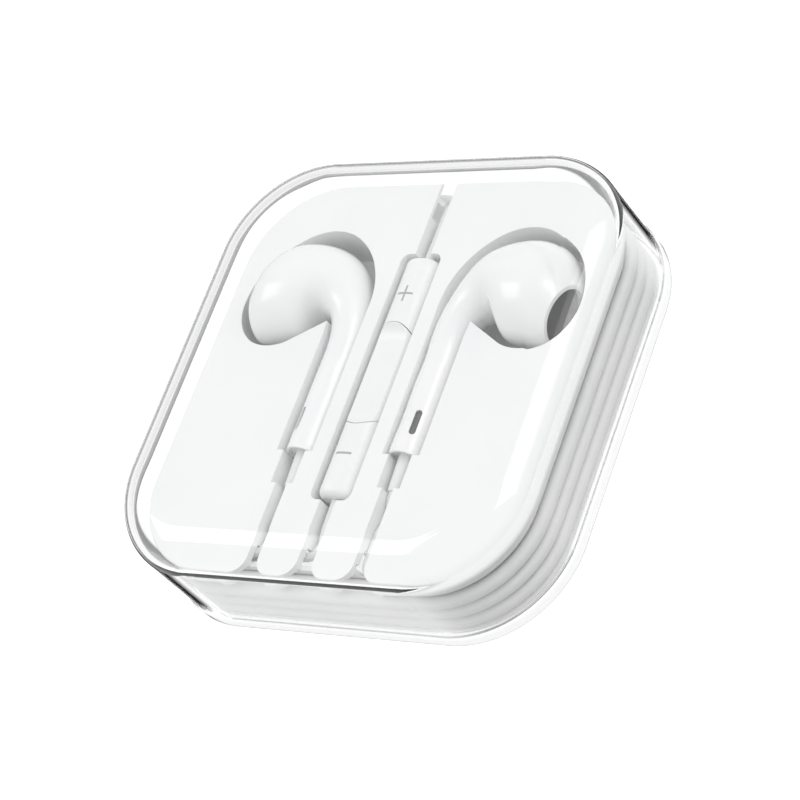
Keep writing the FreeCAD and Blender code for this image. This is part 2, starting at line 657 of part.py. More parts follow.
# Inline remote: back shell, three keys over their switches, board and microphone
def make_remote():
    wall = size("remote_wall")
    w, t = size("remote_width") / 2, size("remote_thickness") / 2
    blank = remote_blank()
    scoop = scoop_tool()
    big = 50.0
    below = box_of(-big, big, -big, big, 0.0, SEAM)
    hollow = remote_hollow(wall)
    feature("remote_back_shell", blank.common(below).cut(hollow))
    board_top = AXIS - t + wall + 1.0
    board = box_of(-w + wall + 0.6, w - wall - 0.6, -REMOTE_HALF + 1.2, REMOTE_HALF - 1.2,
                   board_top - 0.6, board_top)
    feature("remote_circuit_board", board)
    shelf = [box_of(-w + wall, w - wall, y - 0.6, y + 0.6, AXIS - t + wall - 0.3, board_top - 0.6)
             for y in (-12.0, 0.0, 12.0)]
    back = sub_parts["remote_back_shell"]
    back.Shape = back.Shape.fuse([piece.common(blank) for piece in shelf]).removeSplitter()
    boundary = size("scoop_half")
    end = REMOTE_HALF + 1
    gap = size("key_gap") / 2
    spans = {"key_volume_up": (boundary + gap, end), "key_call": (-boundary + gap, boundary - gap),
             "key_volume_down": (-end, -boundary - gap)}
    middles = {"key_volume_up": 12.5, "key_call": 0.0, "key_volume_down": -12.5}
    call_plan = call_key_plan()
    domes = []
    for label, (low, high) in spans.items():
        y = middles[label]
        cap = blank.common(box_of(-big, big, -big, big, KEY_SEAM, AXIS + big))
        if label == "key_call":
            cap = cap.common(slab_of(call_plan, 0, AXIS + big)).cut(scoop)
        else:
            wide = call_plan.makeOffset2D(size("key_gap"), 0, False, False, False)
            cap = cap.cut(slab_of(wide, 0, AXIS + big))
            inner = size("scoop_half") - w - 0.6
            span = (inner, end) if y > 0 else (-end, -inner)
            cap = cap.common(box_of(-big, big, *span, 0, AXIS + big))
        half = 3.0 if label == "key_call" else 2.2
        inside = w - wall - 0.2
        skirt = box_of(-inside, inside, y - half, y + half, KEY_SEAM - KEY_SKIRT, KEY_SEAM + 0.2)
        button = Part.makeCylinder(0.7, KEY_SKIRT + 0.2, Vector(0, y, KEY_SEAM - KEY_SKIRT))
        feature(label, cap.fuse([skirt, button]).removeSplitter())
        domes.append(dome_switch(y, board_top))
    feature("switch_domes", Part.makeCompound(domes))
    capsule = Part.makeCylinder(1.0, 0.9, Vector(0, 6.3, board_top))
    feature("remote_microphone", capsule)
    thick = size("remote_relief_radius")
    for label, side in (("remote_upper_relief", 1), ("remote_lower_relief", -1)):
        feature(label, rod_along_y(0, side * REMOTE_HALF, side * REMOTE_RELIEF_END, thick, thick - 0.1))


def remote_hollow(wall):
    """Space inside the remote, open upward at the keys' seam."""
    w, t, r = size("remote_width") / 2, size("remote_thickness") / 2, size("remote_round")
    room = box_of(-w + wall, w - wall, -REMOTE_HALF + 0.8, REMOTE_HALF - 0.8, AXIS - t + wall, SEAM + 2)
    lower = [e for e in room.Edges if at_height(e, AXIS - t + wall) and e.BoundBox.XLength < 1e-6]
    return room.makeFillet(min(r - wall, 1.5), lower)


def call_key_plan():
    """Plan of the middle key: as wide as the remote, with full-round ends."""
    half, reach = size("scoop_half"), size("remote_width") / 2 + 0.6
    pieces = [
        ((reach, -half + reach), (reach, half - reach)),
        ((reach, half - reach), (0, half), (-reach, half - reach)),
        ((-reach, half - reach), (-reach, -half + reach)),
        ((-reach, -half + reach), (0, -half), (reach, -half + reach)),
    ]
    edges = [
        (Part.LineSegment(Vector(*p[0], 0), Vector(*p[1], 0)) if len(p) == 2
         else Part.Arc(*[Vector(*q, 0) for q in p])).toShape()
        for p in pieces
    ]
    return Part.Face(Part.Wire(edges))


def dome_switch(y, board_top):
    """Snap dome on the board under one key, one key travel below its button."""
    height = KEY_SEAM - KEY_SKIRT - size("key_travel") - 0.03 - board_top
    foot = Part.makeCylinder(1.3, height * 0.5, Vector(0, y, board_top))
    cap = Part.makeCone(1.1, 0.5, height * 0.5, Vector(0, y, board_top + height * 0.5))
    return foot.fuse(cap).removeSplitter()


def shift_arcs(start, heading, run, rise):
    """Two tangent arcs that move a level line up or down by one step."""
    half = math.atan2(abs(rise), run)
    radius = run / (2 * math.sin(2 * half))
    sign = math.copysign(1, rise)
    a = Vector(*start)
    u = Vector(*heading)
    up = Vector(0, 0, sign)
    middle = a + u * (run / 2) + Vector(0, 0, rise / 2)
    end = a + u * run + Vector(0, 0, rise)
    chord = radius * math.sin(half)
    sag = radius * (1 - math.cos(half))
    first = Part.Arc(a, a + u * chord + up * sag, middle)
    last = Part.Arc(middle, end - u * chord - up * sag, end)
    return [first.toShape(), last.toShape()], end, radius


class Route:
    """Edges laid one after another: straight runs, level bends and steps in height."""

    def __init__(self, start, heading):
        self.here = Vector(*start)
        self.angle = heading
        self.edges = []
        self.radii = []

    def forward(self):
        return Vector(math.cos(math.radians(self.angle)), math.sin(math.radians(self.angle)), 0)

    def straight(self, length):
        end = self.here + self.forward() * length
        self.edges.append(Part.LineSegment(self.here, end).toShape())
        self.here = end

    def bend(self, radius, turn):
        """Level arc; a positive turn is to the left."""
        side = math.copysign(1, turn)
        left = Vector(-self.forward().y, self.forward().x, 0) * side
        centre = self.here + left * radius
        points = [self.here]
        for share in (0.5, 1.0):
            spin = Rotation(Vector(0, 0, 1), turn * share)
            points.append(centre + spin.multVec(self.here - centre))
        self.edges.append(Part.Arc(*points).toShape())
        self.radii.append(radius)
        self.here = points[-1]
        self.angle += turn

    def step(self, run, rise):
        arcs, self.here, radius = shift_arcs(tuple(self.here), tuple(self.forward()), run, rise)
        self.edges += arcs
        self.radii.append(radius)

    def wire(self):
        return Part.Wire(self.edges)


def least_self_gap(wire, diameter, skip):
    """Smallest surface gap between stretches of one tube that are not neighbours."""
    count = int(wire.Length)
    points = wire.discretize(Number=count)
    step = wire.Length / (count - 1)
    apart = int(skip / step)
    gap = min((points[i] - points[j]).Length for i in range(count) for j in range(i + apart, count))
    return gap - diameter


# Main cable: from the splitter out to the wall's groove, round the tray, in to the plug
def make_main_cable():
    side = 2 * CORNER_CENTRE
    pitch = size("cable_pitch")
    top_level = LEVEL_ONE + size("cable_turns") * pitch
    entry = 9.6
    route = Route((SPLITTER_END, SLOT_LINE, top_level), 180)
    route.straight(CABLE_LINE - entry + SPLITTER_END)
    route.bend(entry, -90)
    route.straight(CORNER_CENTRE - route.here.y)
    route.bend(CABLE_BEND, -90)
    margin, run = 0.5, 26.0
    for turn in range(int(size("cable_turns"))):
        route.straight(margin)
        route.step(run, -pitch)
        route.straight(side - margin - run)
        for corner in range(3):
            route.bend(CABLE_BEND, -90)
            if corner < 2:
                route.straight(side)
        if turn < int(size("cable_turns")) - 1:
            route.straight(side)
            route.bend(CABLE_BEND, -90)
    inward = 5.0
    route.bend(inward, -90)
    route.straight(0.5)
    route.step(5.0, PLUG_HEIGHT - route.here.z)
    route.straight(PLUG_START - route.here.x)
    wire = route.wire()
    print("main cable: length", round(wire.Length, 1), "least bend", round(min(route.radii), 2),
          "least gap to itself", round(least_self_gap(wire, CABLE, 30.0), 3))
    feature("main_cable", tube(wire, CABLE))
    return route.here.y


SPLITTER_START = -11.9
SPLITTER_END = -18.4
PLUG_HEIGHT = FLOOR + size("plug_radius") + 0.1
PLUG_START = -17.5
PLUG_LINE = -CORNER_CENTRE + 5.0


# Thin leads: left ear piece and remote to the splitter, right ear piece to the remote
def make_leads():
    turn, dip = 2.0, size("lead_dip")
    left = Route((-BUD, RELIEF_END, AXIS), -90)
    left.straight(0.2)
    left.step(3.0, -dip)
    left.step(4.0, dip)
    left.straight(left.here.y - (SLOT_LINE + turn))
    left.bend(turn, -90)
    left.straight(left.here.x - SPLITTER_START)
    remote = Route((0, -REMOTE_RELIEF_END, AXIS), -90)
    sink = 0.3
    remote.step(1.5, -sink)
    remote.straight(remote.here.y - (SLOT_LINE + turn))
    remote.bend(turn, -90)
    remote.straight(0.3)
    remote.step(5.6, sink - LEAD_STEP)
    remote.straight(remote.here.x - SPLITTER_START)
    lead_line = WALL_OUTER + GROOVE + LEAD / 2
    flare = 3.0
    right = Route((BUD, RELIEF_END, AXIS), -90)
    right.straight(0.2)
    right.step(3.0, -dip)
    right.step(4.0, dip)
    right.straight(right.here.y + lead_line - flare)
    right.bend(flare, 90)
    right.straight(CORNER_CENTRE - right.here.x)
    corner = lead_line - CORNER_CENTRE
    right.bend(corner, 90)
    right.straight(2 * CORNER_CENTRE)
    right.bend(corner, 90)
    right.straight(right.here.x - flare)
    right.bend(flare, 90)
    right.straight(right.here.y - REMOTE_RELIEF_END)
    for label, route in (("left_lead", left), ("remote_lead", remote), ("right_lead", right)):
        wire = route.wire()
        print(label, "length", round(wire.Length, 1), "least bend", round(min(route.radii), 2))
        feature(label, tube(wire, LEAD))


LEAD_STEP = 1.44


# Y splitter: a small rounded block where both leads join the main cable
def make_splitter():
    half_width, height = 1.4, 3.35
    low = PLATE_UNDER - 0.1 - height
    block = box_of(SPLITTER_END, SPLITTER_START, SLOT_LINE - half_width, SLOT_LINE + half_width,
                   low, low + height)
    block = block.makeFillet(0.7, [e for e in block.Edges if e.BoundBox.XLength > 1])
    feature("y_splitter", block)


def turned(profile, start, axis):
    """Solid of revolution from (distance, radius) corners along an axis."""
    points = [Vector(0, r, d) for d, r in profile]
    face = Part.Face(Part.makePolygon(points + [points[0]]))
    solid = face.revolve(Vector(0, 0, 0), Vector(0, 0, 1), 360)
    solid.Placement = Placement(Vector(*start), Rotation(Vector(0, 0, 1), Vector(*axis)))
    return solid


# Four-pole plug, stowed under the tray
def make_plug():
    relief, body = size("plug_relief_length"), size("plug_length")
    r, pin, length = size("plug_radius"), size("pin_radius"), size("pin_length")
    start = (PLUG_START, PLUG_LINE, PLUG_HEIGHT)
    heading = (1, 0, 0)
    ribs = 4
    sleeve = turned([(0, 0), (0, 1.25), (relief, 1.7), (relief, 0)], start, heading)
    grooves = []
    for k in range(ribs):
        at = relief * (k + 1) / (ribs + 1)
        ring = turned([(at - 0.25, 1.1), (at - 0.25, 3), (at + 0.25, 3), (at + 0.25, 1.1)], start, heading)
        grooves.append(ring)
    feature("plug_strain_relief", sleeve.cut(grooves))
    housing = turned([(relief, 0), (relief, r - 0.6), (relief + 0.8, r), (relief + body - 0.5, r),
                      (relief + body, r - 0.4), (relief + body, 0)], start, heading)
    feature("plug_housing", housing)
    base = relief + body
    bands = [(0.0, 6.1), (6.6, 1.8), (8.9, 1.6)]
    contacts = []
    for at, width in bands:
        ring = turned([(base + at, 1.0), (base + at, pin), (base + at + width, pin), (base + at + width, 1.0)],
                      start, heading)
        contacts.append(ring)
    nose = 11.0
    end = base + length
    contacts.append(turned([(base + nose, 0), (base + nose, pin - 0.1), (base + nose + 0.5, pin - 0.5),
                            (base + nose + 1.0, pin - 0.08), (base + nose + 1.4, pin - 0.05),
                            (end - 0.5, 0.95), (end - 0.15, 0.6), (end, 0.25), (end, 0)], start, heading))
    feature("plug_contacts", Part.makeCompound(contacts))
    core = turned([(base, 0), (base, 1.0), (base + nose, 1.0), (base + nose, 0)], start, heading)
    rings = []
    for (at, width), (after, _) in zip(bands, bands[1:] + [(nose, 0)]):
        rings.append(turned([(base + at + width, 0.9), (base + at + width, pin - 0.02),
                             (base + after, pin - 0.02), (base + after, 0.9)], start, heading))
    feature("plug_insulator", core.fuse(rings).removeSplitter())


make_base()
make_lid()
make_tray()
for ear in (("right", False), ("left", True)):
    make_ear_piece(*ear)
make_remote()
make_main_cable()
make_leads()
make_splitter()
make_plug()
doc.recompute()

for obj in doc.Objects:
    if "Invalid" in obj.State or "Error" in obj.State:
        raise RuntimeError(f"{obj.Name} failed: {obj.State}")
os.makedirs("parts", exist_ok=True)
for label, obj in sub_parts.items():
    if obj.Shape.isNull() or not obj.Shape.isValid():
        raise RuntimeError(f"{label} has no valid shape")
    obj.Shape.exportStep(f"parts/{label}.step")
    print(label, "solids", len(obj.Shape.Solids), "volume", round(obj.Shape.Volume, 2))
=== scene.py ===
"""Looks of the cased earphones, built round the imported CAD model. Metres throughout."""

import math

import bpy
from mathutils import Matrix, Vector


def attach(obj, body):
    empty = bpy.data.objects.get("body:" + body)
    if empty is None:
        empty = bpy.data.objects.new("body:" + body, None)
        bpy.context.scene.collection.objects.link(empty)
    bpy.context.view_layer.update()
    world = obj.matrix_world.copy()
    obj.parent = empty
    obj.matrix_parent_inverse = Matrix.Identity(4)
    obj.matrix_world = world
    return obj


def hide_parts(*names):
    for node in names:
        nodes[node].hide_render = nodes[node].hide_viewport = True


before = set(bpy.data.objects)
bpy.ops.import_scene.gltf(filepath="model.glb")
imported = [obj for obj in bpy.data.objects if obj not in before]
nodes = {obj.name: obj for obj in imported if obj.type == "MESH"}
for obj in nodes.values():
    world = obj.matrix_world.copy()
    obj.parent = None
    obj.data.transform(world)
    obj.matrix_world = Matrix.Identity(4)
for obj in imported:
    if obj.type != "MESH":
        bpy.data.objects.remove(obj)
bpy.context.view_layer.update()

MM = 0.001

# Route sizes of the wound cable and the leads, in millimetres, as in the CAD source
AXIS = 10.0
STEM_OFFSET = 8.6
RELIEF_END = -16.9
REMOTE_RELIEF_END = 23.0
SLOT_LINE = -26.6
SPLITTER_START = -11.9
SPLITTER_END = -18.4
CORNER_CENTRE = 17.6
CABLE_LINE = 30.0
CABLE_BEND = CABLE_LINE - CORNER_CENTRE
LEVEL_ONE = 2.85
PITCH = 2.46
TURNS = 3
CABLE_RADIUS = 1.0
LEAD_RADIUS = 0.65
LEAD_LINE = 29.65
PLUG_HEIGHT = 3.9
PLUG_START = -17.5
REMOTE_HALF_WIDTH = 2.75
REMOTE_HALF_THICKNESS = 2.4
REMOTE_ROUND = 2.3
KEY_MARK_Y = 12.5
LEAD_DIP = 0.8
LEAD_TURN = 2.0
LEAD_FLARE = 3.0
CABLE_ENTRY_BEND = 9.6
CABLE_STEP_START = 0.5
CABLE_STEP_RUN = 26.0
PLUG_BEND = 5.0

# Section of the clear case in millimetres: distance out from the plan's corner centres, and height
LID_ROUND = (5.9, 4.5)
CASE_TOP = 18.6
LID_SIDE = 15.3
LID_WALL = 1.2
LID_RIM = 2.05
BASE_SIDE = 15.55
BASE_EDGE = 0.7
BASE_RIM = 2.0
BASE_INSIDE = 14.1
BASE_FLOOR = 1.3
SECTION_START = 3.0


# Materials
def material(name):
    made = bpy.data.materials.new(name)
    made.use_nodes = True
    return made, made.node_tree.nodes, made.node_tree.links


def object_noise(tree_nodes, links, scale, detail=3.0, rough=0.5):
    """Noise in object space, which is the shared frame, so its scale is per metre."""
    place = tree_nodes.new("ShaderNodeTexCoord")
    noise = tree_nodes.new("ShaderNodeTexNoise")
    noise.inputs["Scale"].default_value = scale
    noise.inputs["Detail"].default_value = detail
    noise.inputs["Roughness"].default_value = rough
    links.new(place.outputs["Object"], noise.inputs["Vector"])
    return noise


def remap(tree_nodes, links, source, low, high):
    """Spreads a 0 to 1 value over a narrow range."""
    node = tree_nodes.new("ShaderNodeMapRange")
    node.inputs["From Min"].default_value = 0.3
    node.inputs["From Max"].default_value = 0.7
    node.inputs["To Min"].default_value = low
    node.inputs["To Max"].default_value = high
    links.new(source, node.inputs["Value"])
    return node.outputs["Result"]


def tint(tree_nodes, links, source, first, second):
    """Blend of two close colours by a value."""
    ramp = tree_nodes.new("ShaderNodeValToRGB")
    ramp.color_ramp.elements[0].position = 0.3
    ramp.color_ramp.elements[0].color = (*first, 1)
    ramp.color_ramp.elements[1].position = 0.7
    ramp.color_ramp.elements[1].color = (*second, 1)
    links.new(source, ramp.inputs["Fac"])
    return ramp.outputs["Color"]


def bump(tree_nodes, links, source, strength, distance):
    node = tree_nodes.new("ShaderNodeBump")
    node.inputs["Strength"].default_value = strength
    node.inputs["Distance"].default_value = distance
    links.new(source, node.inputs["Height"])
    return node.outputs["Normal"]


def moulded(name, dark, light, rough_low, rough_high, grain, depth, coat=0.0, subsurface=0.0):
    """Moulded plastic: faint tone changes, uneven gloss and a very fine surface grain."""
    made, tree_nodes, links = material(name)
    shader = tree_nodes["Principled BSDF"]
    broad = object_noise(tree_nodes, links, 90.0, 2.0)
    fine = object_noise(tree_nodes, links, grain, 4.0)
    links.new(tint(tree_nodes, links, broad.outputs["Fac"], dark, light), shader.inputs["Base Color"])
    gloss = remap(tree_nodes, links, broad.outputs["Fac"], rough_low, rough_high)
    links.new(gloss, shader.inputs["Roughness"])
    links.new(bump(tree_nodes, links, fine.outputs["Fac"], 0.25, depth), shader.inputs["Normal"])
    shader.inputs["IOR"].default_value = 1.5
    shader.inputs["Coat Weight"].default_value = coat
    shader.inputs["Coat Roughness"].default_value = 0.08
    if subsurface:
        shader.inputs["Subsurface Weight"].default_value = subsurface
        shader.inputs["Subsurface Radius"].default_value = (1.0, 0.9, 0.8)
        shader.inputs["Subsurface Scale"].default_value = 0.0008
    return made


def clear_plastic(name, index, clearness):
    """Polished clear moulding with faint flow waves; a lower clearness leaves it a little milky."""
    made, tree_nodes, links = material(name)
    shader = tree_nodes["Principled BSDF"]
    waves = object_noise(tree_nodes, links, 60.0, 1.0, 0.3)
    shader.inputs["Base Color"].default_value = (0.985, 0.99, 0.99, 1)
    shader.inputs["Transmission Weight"].default_value = clearness
    shader.inputs["IOR"].default_value = index
    links.new(remap(tree_nodes, links, waves.outputs["Fac"], 0.0, 0.012), shader.inputs["Roughness"])
    links.new(bump(tree_nodes, links, waves.outputs["Fac"], 0.06, 0.00004), shader.inputs["Normal"])
    return made


def metal(name, dark, light, rough_low, rough_high):
    """Plated or stamped metal with fine handling marks."""
    made, tree_nodes, links = material(name)
    shader = tree_nodes["Principled BSDF"]
    marks = object_noise(tree_nodes, links, 1500.0, 5.0)
    links.new(tint(tree_nodes, links, marks.outputs["Fac"], dark, light), shader.inputs["Base Color"])
    gloss = remap(tree_nodes, links, marks.outputs["Fac"], rough_low, rough_high)
    links.new(gloss, shader.inputs["Roughness"])
    links.new(bump(tree_nodes, links, marks.outputs["Fac"], 0.2, 0.00001), shader.inputs["Normal"])
    shader.inputs["Metallic"].default_value = 1.0
    return made


def woven_mesh(name):
    """Black acoustic mesh: a fine regular weave of dark wires over a darker ground."""
    made, tree_nodes, links = material(name)
    shader = tree_nodes["Principled BSDF"]
    place = tree_nodes.new("ShaderNodeTexCoord")
    turn = tree_nodes.new("ShaderNodeMapping")
    turn.inputs["Rotation"].default_value = (math.radians(45), 0, math.radians(-14))
    links.new(place.outputs["Object"], turn.inputs["Vector"])
    heights = []
    for axis in ("Y", "Z"):
        wires = tree_nodes.new("ShaderNodeTexWave")
        wires.wave_type = "BANDS"
        wires.bands_direction = axis
        wires.wave_profile = "SIN"
        wires.inputs["Scale"].default_value = 1100.0
        links.new(turn.outputs["Vector"], wires.inputs["Vector"])
        heights.append(wires.outputs["Fac"])
    top = tree_nodes.new("ShaderNodeMath")
    top.operation = "MAXIMUM"
    links.new(heights[0], top.inputs[0])
    links.new(heights[1], top.inputs[1])
    ramp = tint(tree_nodes, links, top.outputs["Value"], (0.012, 0.012, 0.013), (0.15, 0.15, 0.155))
    links.new(ramp, shader.inputs["Base Color"])
    links.new(remap(tree_nodes, links, top.outputs["Value"], 0.75, 0.5), shader.inputs["Roughness"])
    links.new(bump(tree_nodes, links, top.outputs["Value"], 0.6, 0.00003), shader.inputs["Normal"])
    return made


LID_CLEAR = clear_plastic("clear_lid_moulding", 1.53, 1.0)
BASE_CLEAR = clear_plastic("clear_base_moulding", 1.08, 0.75)
TRAY_WHITE = moulded("tray_moulding", (0.91, 0.915, 0.92), (0.94, 0.94, 0.94), 0.28, 0.38, 2500.0, 0.000006)
GLOSS_WHITE = moulded("gloss_white", (0.93, 0.93, 0.935), (0.95, 0.95, 0.95), 0.10, 0.17, 1800.0, 0.000003,
                      coat=0.4, subsurface=0.15)
REMOTE_WHITE = moulded("remote_white", (0.90, 0.90, 0.905), (0.93, 0.93, 0.93), 0.22, 0.30, 2600.0, 0.000005)
JACKET = moulded("cable_jacket", (0.80, 0.805, 0.81), (0.86, 0.86, 0.86), 0.42, 0.55, 4000.0, 0.000012)
BLACK_MESH = woven_mesh("acoustic_mesh")
STEEL = metal("stamped_steel", (0.42, 0.42, 0.43), (0.6, 0.6, 0.6), 0.28, 0.42)
PLATED = metal("plated_contact", (0.66, 0.66, 0.67), (0.78, 0.78, 0.78), 0.12, 0.22)
FILM = moulded("driver_film", (0.62, 0.6, 0.5), (0.7, 0.67, 0.56), 0.35, 0.5, 3000.0, 0.00002)
LAMINATE = moulded("board_laminate", (0.02, 0.10, 0.04), (0.03, 0.14, 0.06), 0.3, 0.45, 3500.0, 0.00001)
MARK_GREY = moulded("mark_grey", (0.36, 0.36, 0.37), (0.42, 0.42, 0.43), 0.4, 0.5, 3000.0, 0.000004)

NODE_MATERIALS = {
    "case_base": BASE_CLEAR,
    "case_lid": LID_CLEAR,
    "tray": TRAY_WHITE,
    "remote_back_shell": REMOTE_WHITE,
    "key_volume_up": REMOTE_WHITE,
    "key_call": REMOTE_WHITE,
    "key_volume_down": REMOTE_WHITE,
    "remote_circuit_board": LAMINATE,
    "switch_domes": STEEL,
    "remote_microphone": STEEL,
    "remote_upper_relief": JACKET,
    "remote_lower_relief": JACKET,
    "y_splitter": JACKET,
    "plug_strain_relief": JACKET,
    "plug_housing": GLOSS_WHITE,
    "plug_contacts": PLATED,
    "plug_insulator": TRAY_WHITE,
}
for ear in ("right", "left"):
    NODE_MATERIALS[f"{ear}_rear_shell"] = GLOSS_WHITE
    NODE_MATERIALS[f"{ear}_front_shell"] = GLOSS_WHITE
    NODE_MATERIALS[f"{ear}_grille"] = BLACK_MESH
    NODE_MATERIALS[f"{ear}_vent_screen"] = BLACK_MESH
    NODE_MATERIALS[f"{ear}_driver_frame"] = STEEL
    NODE_MATERIALS[f"{ear}_driver_magnet"] = STEEL
    NODE_MATERIALS[f"{ear}_diaphragm"] = FILM
    NODE_MATERIALS[f"{ear}_strain_relief"] = JACKET
for label, look in NODE_MATERIALS.items():
    mesh = nodes[label].data
    mesh.materials.clear()
    mesh.materials.append(look)


# Cable and leads
class Route:
    """Points laid one after another along straight runs, level bends and steps in height.

    The heading is in degrees from +X. A bend's turn is positive to the left.
    """

    def __init__(self, start, heading):
        self.here = Vector(start)
        self.angle = heading
        self.points = [self.here.copy()]

    def forward(self):
        return Vector((math.cos(math.radians(self.angle)), math.sin(math.radians(self.angle)), 0))

    def straight(self, length):
        pieces = max(1, int(length / 3.0))
        start = self.here.copy()
        for k in range(1, pieces + 1):
            self.points.append(start + self.forward() * (length * k / pieces))
        self.here = self.points[-1].copy()

    def bend(self, radius, turn):
        left = Vector((-self.forward().y, self.forward().x, 0)) * math.copysign(1, turn)
        centre = self.here + left * radius
        spoke = self.here - centre
        pieces = max(8, int(abs(turn) / 4))
        for k in range(1, pieces + 1):
            spin = Matrix.Rotation(math.radians(turn * k / pieces), 3, "Z")
            self.points.append(centre + spin @ spoke)
        self.here = self.points[-1].copy()
        self.angle += turn

    def step(self, run, rise):
        start, along = self.here.copy(), self.forward()
        half = math.atan2(abs(rise), run)
        radius = run / (2 * math.sin(2 * half))
        up = Vector((0, 0, math.copysign(1, rise)))
        end = start + along * run + Vector((0, 0, rise))
        for k in range(1, 13):
            angle = 2 * half * k / 12
            offset = along * (radius * math.sin(angle)) + up * (radius * (1 - math.cos(angle)))
            self.points.append(start + offset)
        for k in range(1, 13):
            angle = 2 * half * (1 - k / 12)
            offset = along * (radius * math.sin(angle)) + up * (radius * (1 - math.cos(angle)))
            self.points.append(end - offset)
        self.here = end


def round_cord(name, route, radius, replaced):
    """Solid round cord along a route, in place of its CAD node."""
    curve = bpy.data.curves.new(name, "CURVE")
    curve.dimensions = "3D"
    spline = curve.splines.new("POLY")
    spline.points.add(len(route.points) - 1)
    for point, place in zip(spline.points, route.points):
        point.co = (*(place * MM), 1.0)
    curve.bevel_depth = radius * MM
    curve.bevel_resolution = 7
    curve.use_fill_caps = True
    cord = bpy.data.objects.new(name, curve)
    bpy.context.scene.collection.objects.link(cord)
    curve.materials.append(JACKET)
    spline.use_smooth = True
    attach(cord, "loaded_tray")
    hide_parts(replaced)
    return cord


def main_cable_route():
    side = 2 * CORNER_CENTRE
    top_level = LEVEL_ONE + TURNS * PITCH
    route = Route((SPLITTER_END, SLOT_LINE, top_level), 180)
    route.straight(CABLE_LINE - CABLE_ENTRY_BEND + SPLITTER_END)
    route.bend(CABLE_ENTRY_BEND, -90)
    route.straight(CORNER_CENTRE - route.here.y)
    route.bend(CABLE_BEND, -90)
    for turn in range(TURNS):
        route.straight(CABLE_STEP_START)
        route.step(CABLE_STEP_RUN, -PITCH)
        route.straight(side - CABLE_STEP_START - CABLE_STEP_RUN)
        for corner in range(3):
            route.bend(CABLE_BEND, -90)
            if corner < 2:
                route.straight(side)
        if turn < TURNS - 1:
            route.straight(side)
            route.bend(CABLE_BEND, -90)
    route.bend(PLUG_BEND, -90)
    route.straight(0.5)
    route.step(5.0, PLUG_HEIGHT - route.here.z)
    route.straight(PLUG_START - route.here.x)
    return route


def lead_routes():
    left = Route((-STEM_OFFSET, RELIEF_END, AXIS), -90)
    left.straight(0.2)
    left.step(3.0, -LEAD_DIP)
    left.step(4.0, LEAD_DIP)
    left.straight(left.here.y - (SLOT_LINE + LEAD_TURN))
    left.bend(LEAD_TURN, -90)
    left.straight(left.here.x - SPLITTER_START)
    remote = Route((0, -REMOTE_RELIEF_END, AXIS), -90)
    remote.step(1.5, -0.3)
    remote.straight(remote.here.y - (SLOT_LINE + LEAD_TURN))
    remote.bend(LEAD_TURN, -90)
    remote.straight(0.3)
    remote.step(5.6, 0.3 - 1.44)
    remote.straight(remote.here.x - SPLITTER_START)
    right = Route((STEM_OFFSET, RELIEF_END, AXIS), -90)
    right.straight(0.2)
    right.step(3.0, -LEAD_DIP)
    right.step(4.0, LEAD_DIP)
    right.straight(right.here.y + LEAD_LINE - LEAD_FLARE)
    right.bend(LEAD_FLARE, 90)
    right.straight(CORNER_CENTRE - right.here.x)
    right.bend(LEAD_LINE - CORNER_CENTRE, 90)
    right.straight(2 * CORNER_CENTRE)
    right.bend(LEAD_LINE - CORNER_CENTRE, 90)
    right.straight(right.here.x - LEAD_FLARE)
    right.bend(LEAD_FLARE, 90)
    right.straight(right.here.y - REMOTE_RELIEF_END)
    return {"left_lead": left, "remote_lead": remote, "right_lead": right}


round_cord("cable_winding", main_cable_route(), CABLE_RADIUS, "main_cable")
for label, route in lead_routes().items():
    round_cord(f"{label}_jacket", route, LEAD_RADIUS, label)


# Clear case
def arc(centre, reach, start, end, count):
    """Points of an elliptical arc in a section, as (distance out, height); degrees from outward."""
    points = []
    for k in range(count + 1):
        angle = math.radians(start + (end - start) * k / count)
        points.append((centre[0] + reach[0] * math.cos(angle), centre[1] + reach[1] * math.sin(angle)))
    return points


def inner_arc(centre, reach, inward, start, end, count):
    """The same arc moved inward by a wall's thickness, so that the wall is even."""
    points = []
    for k in range(count + 1):
        angle = math.radians(start + (end - start) * k / count)
        across, up = math.cos(angle) / reach[0], math.sin(angle) / reach[1]
        size = math.hypot(across, up)
        points.append((centre[0] + reach[0] * math.cos(angle) - inward * across / size,
                       centre[1] + reach[1] * math.sin(angle) - inward * up / size))
    return points


def swept_shell(name, section, look, body, replaced):
    """Closed clear moulding: a section carried round the case's rounded-square plan.

    The section runs from the middle of one flat face round to the middle of the other, and each
    of its points is (distance from the plan's corner centres, height) in millimetres.
    """
    steps = 40
    verts, faces = [], []
    for out, height in section:
        for corner in range(4):
            sx, sy = ((1, 1), (-1, 1), (-1, -1), (1, -1))[corner]
            for k in range(steps + 1):
                angle = math.radians(90 * (corner + k / steps))
                verts.append(((sx * CORNER_CENTRE + out * math.cos(angle)) * MM,
                              (sy * CORNER_CENTRE + out * math.sin(angle)) * MM,
                              height * MM))
    ring = 4 * (steps + 1)
    for j in range(len(section) - 1):
        for k in range(ring):
            a, b = j * ring + k, j * ring + (k + 1) % ring
            faces.append((a, a + ring, b + ring, b))
    faces.append(tuple(range(ring)))
    faces.append(tuple(reversed(range((len(section) - 1) * ring, len(section) * ring))))
    mesh = bpy.data.meshes.new(name)
    mesh.from_pydata(verts, [], faces)
    mesh.validate()
    for face in mesh.polygons:
        face.use_smooth = True
    mesh.set_sharp_from_angle(angle=math.radians(35))
    mesh.materials.append(look)
    shell = bpy.data.objects.new(name, mesh)
    bpy.context.scene.collection.objects.link(shell)
    shell.visible_shadow = False
    shell.visible_diffuse = False
    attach(shell, body)
    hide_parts(replaced)
    return shell


